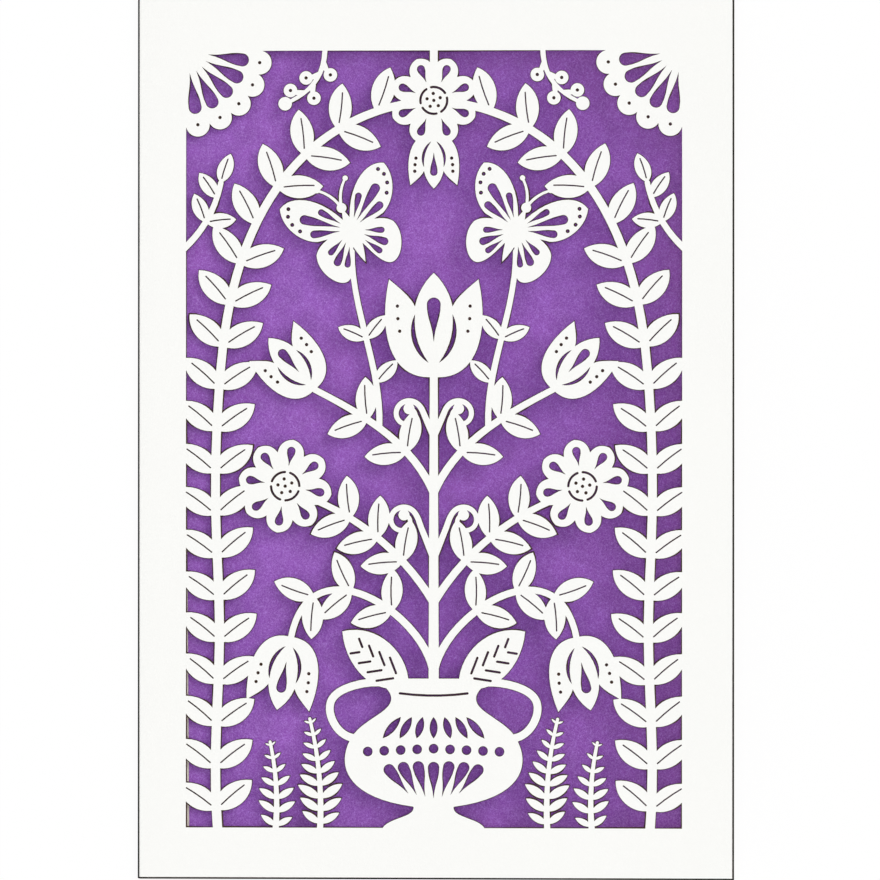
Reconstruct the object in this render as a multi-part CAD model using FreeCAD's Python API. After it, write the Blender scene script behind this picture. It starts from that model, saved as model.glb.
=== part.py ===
"""A laser-cut greeting card, closed and lying on its back.

One sheet of white card is creased and folded once along its left side. Its front leaf has a window
filled with cut-out lace: a leafy arch round a vase of flowers, with two butterflies. A purple paper
sheet lies behind the lace, held to the back leaf by two strips of adhesive.

Millimetres. +X points from the fold to the free edge, +Y to the head of the card and +Z out of its
front. The origin is on the table, under the middle of the card.
"""

import FreeCAD, Part
import math
import os

V = FreeCAD.Vector

# ---- Card -------------------------------------------------------------------------------------
CARD_WIDTH = 120.0  # closed, from the outside of the fold to the free edge
CARD_HEIGHT = 178.0
CARD_THICK = 0.4
FOLD_GAP = 0.8  # between the two leaves, where they leave the fold
OPEN_ANGLE = 4.5  # how far the fold springs open, in degrees

# ---- Window -----------------------------------------------------------------------------------
MARGIN_FOLD = 9.8  # from the outside of the fold to the window
MARGIN_FREE = 10.4
MARGIN_FOOT = 10.3
MARGIN_HEAD = 11.6

# ---- Purple sheet and its adhesive --------------------------------------------------------------
SHEET_THICK = 0.15
SHEET_TURN = 0.4  # it was laid slightly askew, in degrees anticlockwise
SHEET_FALLS_SHORT = 0.6  # of the window's fold side, at its foot, because of that
SHEET_COVERS_FREE = 3.6  # how far it goes past the window towards the free edge
SHEET_COVERS_ENDS = 4.0  # and past the window's head and foot
GLUE_THICK = 0.1
GLUE_WIDTH = 6.0
GLUE_INSET = 3.0  # from the sheet's edge to the strip

# ---- Lace ---------------------------------------------------------------------------------------
STEM = 1.65  # width of the main stems
TWIG = 1.15  # width of the thin ones
SLIT = 0.4  # width of the fine slits
HAIRLINE = 0.2  # width of a cut made in one pass of the laser
PINHOLE = 0.6  # diameter of the smallest round holes
LEAF_FATNESS = 0.5  # a leaf's width, as a share of its length
TULIP_FATNESS = 0.86
ROOT = 1.0  # how far the lace's flat ends reach into the border
SPECK = 0.4  # gaps between motifs with a smaller area than this, in square millimetres, stay closed
LEAF_HIDDEN = 0.15  # a leaf is left out if flowers or earlier leaves hide more than this share of it

# ---- Motifs -------------------------------------------------------------------------------------
VASE_HEIGHT = 30.0
VASE_WIDTH = 34.0
ARCH_LEAF = 9.3  # lengths of the leaves
BRANCH_LEAF = 8.6
TWIG_LEAF = 6.2
VASE_LEAF = 17.0
CROWN_TULIP = 21.0  # heights of the tulips
HANGING_TULIP = 15.0
RAISED_TULIP = 14.0
HEAD_TULIP = 11.0
SIDE_ROSETTE = 9.5  # radii of the rosettes
HEAD_ROSETTE = 9.0
BUTTERFLY_WING = 11.5
FAN_RADIUS = 15.0
BERRY_RADIUS = 1.4

FOLD_RADIUS = FOLD_GAP / 2 + CARD_THICK
WINDOW_WIDTH = CARD_WIDTH - MARGIN_FOLD - MARGIN_FREE
WINDOW_HEIGHT = CARD_HEIGHT - MARGIN_FOOT - MARGIN_HEAD


# ---- Drawing ------------------------------------------------------------------------------------
def at(u, v, foot=0.0):
    """A point of the window. u runs from -1 at its left side to 1 at its right, and v from 0 at a height
    of foot to 1 at the window's head."""
    return V(u * WINDOW_WIDTH / 2, foot + v * (WINDOW_HEIGHT - foot), 0)


def polar(radius, degrees):
    a = math.radians(degrees)
    return V(radius * math.cos(a), radius * math.sin(a), 0)


def bezier(*poles):
    curve = Part.BezierCurve()
    curve.setPoles([V(x, y, 0) for x, y in poles])
    return curve.toShape()


def flat(wire):
    """A flat face that looks up, whichever way round its outline runs."""
    return Part.Face(Part.Plane(V(0, 0, 0), V(0, 0, 1)), wire)


def face(*edges):
    return flat(Part.Wire(list(edges)))


def disc(centre, radius):
    return face(Part.Circle(centre, V(0, 0, 1), radius).toShape())


def halves(*curves):
    """A face with Bezier curves as its left outline, from one point of the X axis to another, and their
    mirror image as its right one."""
    left = [bezier(*poles) for poles in curves]
    right = [bezier(*[(x, -y) for x, y in reversed(poles)]) for poles in reversed(curves)]
    return face(*left, *right)


def lens(start, through, end, width):
    """A shape between two arcs, with a point at each end."""
    along = end - start
    half = V(-along.y, along.x, 0).normalize() * (width / 2)
    return face(
        Part.Arc(start, through + half, end).toShape(),
        Part.Arc(end, through - half, start).toShape(),
    )


def slit(start, through, end, width=SLIT):
    """A fine cut of one width along an arc, with round ends."""
    places = [on(Part.Arc(start, through, end), t) for t in (0, 0.5, 1)]
    left, right = [[point + polar(width / 2, way + turn) for point, way in places] for turn in (90, -90)]
    return face(
        Part.Arc(*left).toShape(),
        Part.Arc(left[-1], end + polar(width / 2, places[-1][1]), right[-1]).toShape(),
        Part.Arc(*right[::-1]).toShape(),
        Part.Arc(right[0], start - polar(width / 2, places[0][1]), left[0]).toShape(),
    )


def straight_slit(start, end, width=SLIT):
    """The same along a straight line."""
    ahead = (end - start).normalize() * (width / 2)
    aside = V(-ahead.y, ahead.x, 0)
    return face(
        Part.LineSegment(start + aside, end + aside).toShape(),
        Part.Arc(end + aside, end + ahead, end - aside).toShape(),
        Part.LineSegment(end - aside, start - aside).toShape(),
        Part.Arc(start - aside, start - ahead, start + aside).toShape(),
    )


def drop(x, length, width):
    """A drop on the X axis, with its point at x and its round end past it."""
    half, shoulder = width / 2, x + length - width / 2
    side = [(x, 0), (x + length * 0.4, half * 0.16), (x + length * 0.5, half), (shoulder, half)]
    return face(
        bezier(*side),
        Part.Arc(V(shoulder, half, 0), V(x + length, 0, 0), V(shoulder, -half, 0)).toShape(),
        bezier(*[(a, -b) for a, b in reversed(side)]),
    )


def spline(points):
    """A smooth curve through points."""
    curve = Part.BSplineCurve()
    curve.interpolate(points)
    return curve


def path(points, foot=0.0):
    """A smooth curve through points of the window, given as at() takes them."""
    return spline([at(u, v, foot) for u, v in points])


def on(curve, t):
    """The point at a share t of the way along a curve, and the curve's direction there in degrees."""
    k = curve.FirstParameter + t * (curve.LastParameter - curve.FirstParameter)
    d = curve.tangent(k)[0]
    return curve.value(k), math.degrees(math.atan2(d.y, d.x))


def ribbon(curve, start_width, end_width, steps=12):
    """A strip along a curve, which tapers evenly and has a round end."""
    sides = {90: [], -90: []}
    for i in range(steps + 1):
        t = i / steps
        point, way = on(curve, t)
        for turn, side in sides.items():
            side.append(point + polar((start_width + (end_width - start_width) * t) / 2, way + turn))
    point, way = on(curve, 1)
    left, right = sides[90], sides[-90]
    return face(
        spline(left).toShape(),
        Part.Arc(left[-1], point + polar(end_width / 2, way), right[-1]).toShape(),
        spline(right[::-1]).toShape(),
        Part.LineSegment(right[0], left[0]).toShape(),
    )


class Motif:
    """Flat faces of card, and the openings cut through them. It grows from the origin towards +X."""

    def __init__(self, card=(), cuts=()):
        self.card = list(card)
        self.cuts = list(cuts)

    def add(self, other):
        self.card += other.card
        self.cuts += other.cuts
        return self

    def changed(self, change):
        card = [flat(change(s).OuterWire) for s in self.card]
        return Motif(card, [flat(change(s).OuterWire) for s in self.cuts])

    def put(self, where, turn=0.0):
        """A copy, turned about its origin by some degrees and moved to a point."""
        matrix = FreeCAD.Placement(where, FreeCAD.Rotation(V(0, 0, 1), turn)).toMatrix()
        return self.changed(lambda s: s.transformed(matrix))

    def flipped(self):
        """A copy mirrored across the X axis."""
        return self.changed(lambda s: s.mirror(V(0, 0, 0), V(0, 1, 0)))

    def hidden_by(self, other):
        """The share of this motif's card that lies on another motif's card."""
        covered = 0
        for mine in self.card:
            for theirs in other.card:
                if mine.BoundBox.intersect(theirs.BoundBox):
                    covered += mine.common(theirs).Area
        return covered / sum(mine.Area for mine in self.card)

    def on_both_sides(self):
        """The motif and its mirror image across the window's upright middle line."""
        other = self.changed(lambda s: s.mirror(V(0, 0, 0), V(1, 0, 0)))
        return Motif(self.card + other.card, self.cuts + other.cuts)


# ---- Leaves -------------------------------------------------------------------------------------
def leaf(length, bend=0.12):
    """A plain leaf with a hairline down its middle. Its tip bends left by the share bend of its length."""
    side, tip = length * LEAF_FATNESS * 0.68, bend * length
    outline = face(
        bezier((0, 0), (length * 0.2, side), (length * 0.7, side + tip * 0.7), (length, tip)),
        bezier((length, tip), (length * 0.74, tip * 0.5 - side * 0.9), (length * 0.22, -side), (0, 0)),
    )
    vein = [V(length * x, tip * y, 0) for x, y in ((0.16, 0.01), (0.48, 0.2), (0.8, 0.6))]
    return Motif([outline], [slit(*vein, HAIRLINE)])


def veined_leaf(length, bend=0.15, pairs=4):
    """A broad leaf with pairs of side slits."""
    made = Motif(leaf(length, bend).card)
    width = length * LEAF_FATNESS
    for i in range(pairs):
        x = length * (0.2 + 0.5 * i / (pairs - 1))
        y = bend * length * (x / length) ** 2
        reach = width * (0.34 - 0.16 * i / (pairs - 1))
        for side in (1, -1):
            start = V(x, y + side * width * 0.07, 0)
            end = start + V(reach * 0.9, side * reach * 0.72, 0)
            made.cuts.append(straight_slit(start, end))
    return made


def leaves_along(curve, shares, length, lean=46.0):
    """Pairs of plain leaves along a stem, as a list."""
    made = []
    for t in shares:
        point, way = on(curve, t)
        made.append(leaf(length).put(point, way + lean))
        made.append(leaf(length).flipped().put(point, way - lean))
    return made


def curl(curve, radius, turns=1.15):
    """A thin stem that rolls up to the right at its end, into a spiral with a bud."""
    end, way = on(curve, 1)
    middle = end + polar(radius, way - 90)
    steps = 14
    points = [on(curve, t)[0] for t in (0, 0.25, 0.5, 0.75)]
    for i in range(steps + 1):
        t = i / steps
        points.append(middle + polar(radius * (1 - 0.6 * t), way + 90 - 360 * turns * t))
    made = Motif([ribbon(spline(points), TWIG * 1.2, TWIG * 0.8, steps=40)])
    made.card.append(disc(points[-1], TWIG))
    return made


def fern(curve, pairs, longest, lean=58.0):
    """A frond: a thin stem with pairs of narrow leaflets, longest a third of the way up."""
    made = Motif([ribbon(curve, TWIG * 1.2, TWIG * 0.6)])
    for i in range(pairs):
        t = 0.1 + 0.86 * i / (pairs - 1)
        point, way = on(curve, t)
        size = longest * (1 - abs(t - 0.3) * (1.1 if t > 0.3 else 0.9))
        one = Motif([halves([(0, 0), (size * 0.3, size * 0.26), (size * 0.75, size * 0.2), (size, 0)])])
        for side in (1, -1):
            made.add(one.put(point, way + side * lean))
    return made


# ---- Flowers ------------------------------------------------------------------------------------
def tulip(height):
    """A closed tulip in side view: two outer petals, a pointed middle one, and slits between them."""
    h, w = height, height * TULIP_FATNESS / 2
    outline = halves(
        [(0, 0), (-h * 0.04, w * 1.0), (h * 0.45, w * 1.25), (h * 0.94, w)],
        [(h * 0.94, w), (h * 0.84, w * 0.72), (h * 0.76, w * 0.5), (h * 0.68, w * 0.42)],
        [(h * 0.68, w * 0.42), (h * 0.82, w * 0.36), (h * 0.94, w * 0.16), (h, 0)],
    )
    made = Motif([outline], [drop(h * 0.34, h * 0.42, w * 0.3)])
    for side in (1, -1):
        ends = V(h * 0.6, side * w * 0.42, 0), V(h * 0.14, side * w * 0.12, 0)
        made.cuts.append(lens(ends[0], V(h * 0.38, side * w * 0.44, 0), ends[1], h * 0.045))
        for x, y in ((0.44, 0.76), (0.56, 0.8), (0.68, 0.81)):
            made.cuts.append(disc(V(h * x, side * w * y, 0), PINHOLE / 2))
    return made


def rosette(radius, petals=8):
    """A round flower, face on, with a drop in each petal and a pierced middle."""
    r = radius
    outline = halves([(0, 0), (r * 0.35, r * 0.3), (r * 0.92, r * 0.45), (r, 0)])
    petal = Motif([outline], [drop(r * 0.44, r * 0.4, r * 0.17)])
    made = Motif([disc(V(0, 0, 0), r * 0.4)], [disc(V(0, 0, 0), PINHOLE / 2)])
    for i in range(petals):
        made.add(petal.put(V(0, 0, 0), 360 / petals * i))
    for a in (45, 135, 225, 315):
        ring = [polar(r * 0.3, a + b) for b in (-34, 0, 34)]
        made.cuts.append(slit(*ring))
    for i in range(5):
        made.cuts.append(disc(polar(r * 0.155, 72 * i), PINHOLE / 2))
    return made


def berries(curve, count=4):
    """A thin twig with round berries on short stalks, and one at its end."""
    end, way = on(curve, 1)
    last = disc(end + polar(BERRY_RADIUS * 0.8, way), BERRY_RADIUS)
    made = Motif([ribbon(curve, TWIG, TWIG * 0.7), last])
    for i in range(count):
        point, way = on(curve, 0.3 + 0.7 * i / count)
        centre = point + polar(BERRY_RADIUS * 1.75, way + (55 if i % 2 else -55))
        made.card.append(disc(centre, BERRY_RADIUS))
        made.card.append(lens(point - polar(BERRY_RADIUS, way), (point + centre) * 0.5, centre, TWIG * 0.9))
        made.cuts.append(disc(centre, PINHOLE / 2))
    return made


# ---- Butterfly ----------------------------------------------------------------------------------
def butterfly(span):
    """A butterfly seen from above with its head towards +X. span is the length of one upper wing."""
    s = span
    upper = face(
        bezier((0.06 * s, 0), (0.72 * s, 0.22 * s), (1.02 * s, 0.7 * s), (0.84 * s, 1.0 * s)),
        bezier((0.84 * s, 1.0 * s), (0.55 * s, 1.1 * s), (0.16 * s, 0.92 * s), (0.04 * s, 0.62 * s)),
        bezier((0.04 * s, 0.62 * s), (0.0, 0.4 * s), (-0.02 * s, 0.2 * s), (0.06 * s, 0)),
    )
    lower = face(
        bezier((0, 0), (0.08 * s, 0.3 * s), (0.02 * s, 0.62 * s), (-0.16 * s, 0.74 * s)),
        bezier((-0.16 * s, 0.74 * s), (-0.45 * s, 0.86 * s), (-0.86 * s, 0.6 * s), (-0.8 * s, 0.4 * s)),
        bezier((-0.8 * s, 0.4 * s), (-0.72 * s, 0.2 * s), (-0.3 * s, 0.12 * s), (-0.1 * s, 0)),
        Part.LineSegment(V(-0.1 * s, 0, 0), V(0, 0, 0)).toShape(),
    )
    wing = Motif([upper, lower])
    for turn, start, length, width in (
        (36, 0.22, 0.44, 0.11),
        (54, 0.2, 0.72, 0.16),
        (73, 0.2, 0.52, 0.13),
        (114, 0.24, 0.34, 0.1),
        (133, 0.24, 0.44, 0.13),
        (150, 0.3, 0.36, 0.1),
    ):
        wing.add(Motif([], [drop(start * s, length * s, width * s)]).put(V(0, 0, 0), turn))
    for x, y in ((0.78, 0.86), (0.66, 0.92), (0.5, 0.91), (0.34, 0.83)):
        wing.cuts.append(disc(V(x, y, 0) * s, PINHOLE * 0.6))
    made = Motif(wing.card + wing.flipped().card, wing.cuts + wing.flipped().cuts)
    made.card.append(lens(V(-0.62 * s, 0, 0), V(0, 0, 0), V(0.42 * s, 0, 0), 0.2 * s))
    made.card.append(disc(V(0.42 * s, 0, 0), 0.09 * s))
    for side in (1, -1):
        feeler = spline([V(0.4 * s, 0, 0), V(0.68 * s, side * 0.1 * s, 0), V(0.86 * s, side * 0.26 * s, 0)])
        made.card.append(ribbon(feeler, TWIG * 0.6, TWIG * 0.5))
        made.card.append(disc(V(0.87 * s, side * 0.27 * s, 0), TWIG * 0.5))
    return made


# ---- Vase ---------------------------------------------------------------------------------------
def vase():
    """A footed vase with two handles, standing along +X. It has three rows of piercings: drops that spread
    from its foot, round holes round its belly and slits up its shoulder."""
    h, w = VASE_HEIGHT, VASE_WIDTH / 2
    outline = halves(
        [(-ROOT, 0), (-ROOT, w * 0.3), (-ROOT, w * 0.5), (-ROOT, w * 0.62)],
        [(-ROOT, w * 0.62), (h * 0.07, w * 0.62), (h * 0.06, w * 0.22), (h * 0.14, w * 0.24)],
        [(h * 0.14, w * 0.24), (h * 0.2, w * 1.05), (h * 0.42, w * 1.16), (h * 0.6, w * 0.98)],
        [(h * 0.6, w * 0.98), (h * 0.74, w * 0.84), (h * 0.78, w * 0.42), (h * 0.9, w * 0.52)],
        [(h * 0.9, w * 0.52), (h * 0.94, w * 0.56), (h * 0.97, w * 0.64), (h, w * 0.68)],
        [(h, w * 0.68), (h, w * 0.4), (h, w * 0.2), (h, 0)],
    )
    made = Motif([outline])
    for i in range(-3, 4):
        gadroon = Motif([], [drop(0, h * 0.24, w * 0.13)])
        made.add(gadroon.put(V(h * (0.2 + abs(i) * 0.01), i * w * 0.1, 0), i * 13))
    for side in (1, -1):
        places = ((0.93, 0.4), (0.95, 0.95), (0.84, 1.22), (0.68, 1.16), (0.6, 0.9))
        handle = spline([V(h * x, side * w * y, 0) for x, y in places])
        made.card.append(ribbon(handle, STEM, STEM))
    for i in range(-4, 5):
        made.cuts.append(disc(V(h * (0.53 - abs(i) * 0.005), i * w * 0.195, 0), w * 0.055))
    for i in range(-3, 4):
        ends = V(h * 0.6, i * w * 0.2, 0), V(h * 0.74, i * w * 0.13, 0)
        made.cuts.append(lens(ends[0], (ends[0] + ends[1]) * 0.5, ends[1], w * 0.09))
    made.cuts.append(slit(V(h * 0.9, -w * 0.4, 0), V(h * 0.885, 0, 0), V(h * 0.9, w * 0.4, 0)))
    return made


# ---- Corners ------------------------------------------------------------------------------------
def fan(radius, rays=5):
    """A quarter fan about the origin, filling the quadrant between +X and +Y, with a scalloped edge."""
    step = 90 / rays
    scallop = radius * math.tan(math.radians(step / 2)) * 1.02
    places = (radius, 0), (radius, -ROOT), (-ROOT, -ROOT), (-ROOT, radius), (0, radius)
    corners = [V(x, y, 0) for x, y in places]
    body = face(
        Part.Arc(corners[-1], polar(radius, 45), corners[0]).toShape(),
        *[Part.LineSegment(a, b).toShape() for a, b in zip(corners, corners[1:])],
    )
    made = Motif([body])
    for i in range(rays):
        a = step * (i + 0.5)
        ray = Motif([disc(V(radius, 0, 0), scallop)], [disc(V(radius, 0, 0), PINHOLE / 2)])
        ray.cuts.append(drop(radius * 0.3, radius * 0.55, radius * 0.17))
        made.add(ray.put(V(0, 0, 0), a))
    return made


# ---- The picture --------------------------------------------------------------------------------
# Each stem is drawn for the right half of the window, from its root to its end, as at() takes it.
ARCH_SIDE = [(0.87, -0.01), (0.88, 0.1), (0.865, 0.25), (0.88, 0.4), (0.87, 0.55), (0.82, 0.68)]
ARCH = path(ARCH_SIDE + [(0.68, 0.8), (0.45, 0.885), (0.2, 0.925), (0, 0.935)])
SPRIG = path([(1.01, 0.745), (0.93, 0.775), (0.86, 0.83)])
BERRY_TWIG = path([(0.44, 1.01), (0.47, 0.965), (0.58, 0.935)])
FERNS = path([(0.46, -0.01), (0.46, 0.06), (0.5, 0.14)]), path([(0.64, -0.01), (0.635, 0.05), (0.66, 0.11)])

# These grow out of the vase, so they start from the height of its mouth.
MAIN = path([(0, -0.02), (0, 0.25), (0, 0.49)], VASE_HEIGHT)
LOW = path([(0, -0.01), (0.18, 0.11), (0.42, 0.14), (0.575, 0.066)], VASE_HEIGHT)
MIDDLE = path([(0, 0.12), (0.2, 0.215), (0.38, 0.265), (0.52, 0.29)], VASE_HEIGHT)
HIGH = path([(0, 0.295), (0.16, 0.38), (0.34, 0.43), (0.48, 0.46)], VASE_HEIGHT)
PERCH = path([(0.22, 0.4), (0.25, 0.505), (0.31, 0.605), (0.33, 0.68)], VASE_HEIGHT)
CURLS = [path([(0, 0.19), (0.07, 0.26)], VASE_HEIGHT), path([(0, 0.385), (0.05, 0.43)], VASE_HEIGHT)]

HEAD_FLOWER = V(0, WINDOW_HEIGHT - HEAD_ROSETTE - ROOT, 0)


def stems():
    made = Motif([ribbon(ARCH, STEM * 1.2, STEM, steps=40)])
    for branch in (LOW, MIDDLE, HIGH):
        made.card.append(ribbon(branch, STEM, STEM * 0.8))
    made.card.append(ribbon(PERCH, STEM * 0.8, TWIG))
    made.card.append(ribbon(SPRIG, TWIG * 1.2, TWIG))
    made.add(berries(BERRY_TWIG))
    for curve in CURLS:
        made.add(curl(curve, 3))
    for curve, pairs, longest in zip(FERNS, (9, 7), (5.4, 4.6)):
        made.add(fern(curve, pairs, longest))
    made = made.on_both_sides()
    made.card.append(ribbon(MAIN, STEM * 1.3, STEM))
    made.card.append(ribbon(spline([HEAD_FLOWER, V(0, WINDOW_HEIGHT + ROOT, 0)]), STEM, STEM))
    return made


def flowers():
    made = fan(FAN_RADIUS).put(at(1, 1), 180)
    made.add(veined_leaf(VASE_LEAF).put(at(0.1, -0.01, VASE_HEIGHT), 30))
    made.add(tulip(HANGING_TULIP).put(*on(LOW, 1)))
    made.add(rosette(SIDE_ROSETTE).put(on(MIDDLE, 1)[0] + polar(SIDE_ROSETTE * 0.47, 27), 10))
    made.add(tulip(RAISED_TULIP).put(on(HIGH, 1)[0], 48))
    made.add(butterfly(BUTTERFLY_WING).put(on(PERCH, 1)[0] + polar(BUTTERFLY_WING * 0.38, 88), 66))
    made = made.on_both_sides()
    made.add(vase().put(at(0, 0), 90))
    made.add(tulip(CROWN_TULIP).put(on(MAIN, 0.98)[0], 90))
    made.add(rosette(HEAD_ROSETTE).put(HEAD_FLOWER, 22.5))
    made.add(tulip(HEAD_TULIP).put(HEAD_FLOWER - V(0, HEAD_ROSETTE * 0.75, 0), -90))
    return made


def foliage():
    """The leaves of the right half, as a list."""
    made = leaves_along(ARCH, [0.03 + 0.05 * i for i in range(19)], ARCH_LEAF)
    made += leaves_along(LOW, (0.4, 0.6, 0.8), BRANCH_LEAF)
    made += leaves_along(MIDDLE, (0.3, 0.5, 0.7), BRANCH_LEAF)
    made += leaves_along(HIGH, (0.3, 0.62), BRANCH_LEAF)
    made += leaves_along(PERCH, (0.25, 0.5), TWIG_LEAF)
    made += leaves_along(SPRIG, (0.45, 0.8), TWIG_LEAF)
    made.append(leaf(TWIG_LEAF).put(*on(SPRIG, 1)))
    return made


def lace():
    """Everything in the window, as one motif."""
    blooms = flowers()
    leaves = Motif()
    for one in foliage():
        if one.hidden_by(blooms) < LEAF_HIDDEN and one.hidden_by(leaves) < LEAF_HIDDEN:
            leaves.add(one)
    return stems().add(leaves.on_both_sides()).add(blooms)


def front_face():
    """The front leaf, laid flat, with the origin at the middle of the window's foot."""
    corner = V(-WINDOW_WIDTH / 2, 0, 0)
    flat_width = CARD_WIDTH - FOLD_RADIUS
    whole = Part.makePlane(flat_width, CARD_HEIGHT, corner + V(FOLD_RADIUS - MARGIN_FOLD, -MARGIN_FOOT, 0))
    border = whole.cut(Part.makePlane(WINDOW_WIDTH, WINDOW_HEIGHT, corner))
    picture = lace()
    pieces = border.multiFuse(picture.card)
    joined = Part.makeShell(pieces.Faces).removeSplitter().common(whole).Faces[0]
    gaps = [wire for wire in joined.Wires if not wire.isSame(joined.OuterWire)]
    specks = [flat(wire) for wire in gaps if flat(wire).Area < SPECK]
    if specks:
        joined = Part.makeShell(joined.multiFuse(specks).Faces).removeSplitter()
    return joined.cut(picture.cuts).Faces[0]


# ---- Solids -------------------------------------------------------------------------------------
def folded_card():
    """The back leaf, the fold and the front leaf with its lace, as the one sheet that they are."""
    axis = V(-CARD_WIDTH / 2 + FOLD_RADIUS, -CARD_HEIGHT / 2, FOLD_RADIUS)
    back = Part.makeBox(CARD_WIDTH - FOLD_RADIUS, CARD_HEIGHT, CARD_THICK, V(axis.x, axis.y, 0))

    def around_fold(radius, degrees):
        a = math.radians(degrees)
        return axis + V(radius * math.cos(a), 0, radius * math.sin(a))

    start, middle, end = -90, -180 + OPEN_ANGLE / 2, -270 + OPEN_ANGLE
    outer = [around_fold(FOLD_RADIUS, a) for a in (start, middle, end)]
    inner = [around_fold(FOLD_GAP / 2, a) for a in (end, middle, start)]
    section = [
        Part.Arc(*outer).toShape(),
        Part.LineSegment(outer[-1], inner[0]).toShape(),
        Part.Arc(*inner).toShape(),
        Part.LineSegment(inner[-1], outer[0]).toShape(),
    ]
    fold = Part.Face(Part.Wire(section)).extrude(V(0, CARD_HEIGHT, 0))

    front = front_face().extrude(V(0, 0, CARD_THICK))
    window_foot = V(MARGIN_FOLD - FOLD_RADIUS + WINDOW_WIDTH / 2, MARGIN_FOOT, FOLD_GAP / 2)
    opened = FreeCAD.Placement(axis, FreeCAD.Rotation(V(0, 1, 0), -OPEN_ANGLE))
    front.Placement = opened.multiply(FreeCAD.Placement(window_foot, FreeCAD.Rotation()))
    return back.fuse([fold, front]).removeSplitter().Solids[0]


def on_back_leaf(shape):
    """Lays what is drawn from the purple sheet's corner at the foot of the fold side onto the back leaf."""
    side = -CARD_WIDTH / 2 + MARGIN_FOLD + SHEET_FALLS_SHORT
    corner = V(side, -CARD_HEIGHT / 2 + MARGIN_FOOT - SHEET_COVERS_ENDS, CARD_THICK)
    shape.Placement = FreeCAD.Placement(corner, FreeCAD.Rotation(V(0, 0, 1), SHEET_TURN))
    return shape


SHEET_WIDTH = WINDOW_WIDTH - SHEET_FALLS_SHORT + SHEET_COVERS_FREE
SHEET_HEIGHT = WINDOW_HEIGHT + 2 * SHEET_COVERS_ENDS


def purple_sheet():
    return on_back_leaf(Part.makeBox(SHEET_WIDTH, SHEET_HEIGHT, SHEET_THICK, V(0, 0, GLUE_THICK)))


def glue_strip(x):
    """A strip of adhesive under the sheet, whose side nearer the fold is x from the sheet's."""
    length = SHEET_HEIGHT - 2 * GLUE_INSET
    return on_back_leaf(Part.makeBox(GLUE_WIDTH, length, GLUE_THICK, V(x, GLUE_INSET, 0)))


def main():
    os.makedirs("parts", exist_ok=True)
    pieces = {
        "folded_card": folded_card(),
        "purple_sheet": purple_sheet(),
        "glue_strip_fold_side": glue_strip(GLUE_INSET),
        "glue_strip_free_side": glue_strip(SHEET_WIDTH - GLUE_INSET - GLUE_WIDTH),
    }
    for name, shape in pieces.items():
        shape.exportStep(f"parts/{name}.step")


if __name__ == "__main__":
    main()
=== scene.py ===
# %% [markdown]
# # A laser cut greeting card
#
# The real card is one sheet of white stock. While it lies flat, a laser cuts a lace of flowers
# and leaves out of its front half. Then it is scored and folded, and a sheet of purple paper is
# glued inside, behind the lace. This lesson makes it in the same order: read the outlines, cut
# the flat sheet, fold it, lay the purple sheet.
#
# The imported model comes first, because its box and its outlines say where everything goes.

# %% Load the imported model
import math
import bmesh
import bpy
import numpy as np
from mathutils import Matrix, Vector
from mathutils.bvhtree import BVHTree
from mathutils.geometry import delaunay_2d_cdt


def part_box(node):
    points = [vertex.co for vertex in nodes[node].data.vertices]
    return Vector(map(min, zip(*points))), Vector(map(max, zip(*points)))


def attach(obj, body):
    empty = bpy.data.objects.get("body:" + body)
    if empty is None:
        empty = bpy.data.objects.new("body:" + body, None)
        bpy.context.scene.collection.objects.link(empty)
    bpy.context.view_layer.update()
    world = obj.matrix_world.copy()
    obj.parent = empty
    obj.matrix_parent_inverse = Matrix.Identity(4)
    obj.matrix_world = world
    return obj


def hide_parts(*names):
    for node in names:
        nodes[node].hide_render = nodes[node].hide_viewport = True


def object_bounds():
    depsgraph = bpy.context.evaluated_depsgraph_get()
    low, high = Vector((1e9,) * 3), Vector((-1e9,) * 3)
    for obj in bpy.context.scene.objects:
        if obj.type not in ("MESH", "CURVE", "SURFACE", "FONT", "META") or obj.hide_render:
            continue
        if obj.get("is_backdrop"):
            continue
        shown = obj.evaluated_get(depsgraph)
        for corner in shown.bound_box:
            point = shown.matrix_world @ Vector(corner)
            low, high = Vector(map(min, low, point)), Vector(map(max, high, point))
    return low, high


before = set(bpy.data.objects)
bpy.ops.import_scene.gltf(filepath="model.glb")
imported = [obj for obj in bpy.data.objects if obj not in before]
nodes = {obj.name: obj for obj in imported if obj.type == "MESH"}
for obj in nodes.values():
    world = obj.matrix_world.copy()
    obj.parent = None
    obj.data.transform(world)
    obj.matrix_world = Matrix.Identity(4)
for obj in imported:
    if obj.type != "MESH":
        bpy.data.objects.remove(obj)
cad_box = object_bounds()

MM = 0.001


def in_mm(corner):
    """A corner or a size, in millimetres for printing."""
    return [round(side / MM, 2) for side in corner]


print("nodes:", ", ".join(sorted(nodes)))
print("size in mm:", in_mm(cad_box[1] - cad_box[0]))

# %% [markdown]
# ## Sizes
#
# Paper goods are thought of in millimetres and Blender works in metres, so the sizes below are in
# millimetres and are turned into metres where a mesh is made. The leaf, the bend and the opening
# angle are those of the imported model.

# %% Sizes of the card, in millimetres
STOCK = 0.4                        # thickness of the white card
BEND_INSIDE = 0.4                  # radius on the inside of the fold
OPENING = math.radians(4.5)        # how far the front leaf springs open
LEAF_WIDTH = 119.2                 # from the fold to the free edge
LEAF_HALF_HEIGHT = 89.0
AXIS = Vector((-59.2, 0.0, 0.8))   # the line that the card is folded round
BEND_RUN = (math.pi - OPENING) * (BEND_INSIDE + STOCK / 2)  # stock that the fold takes up
BEND_STEPS = 18                    # flat strips that the bend is made of

leaf_across = Vector((math.cos(OPENING), 0, math.sin(OPENING)))
leaf_up = Vector((-math.sin(OPENING), 0, math.cos(OPENING)))
print("the fold takes up", round(BEND_RUN, 2), "mm of stock")

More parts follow.
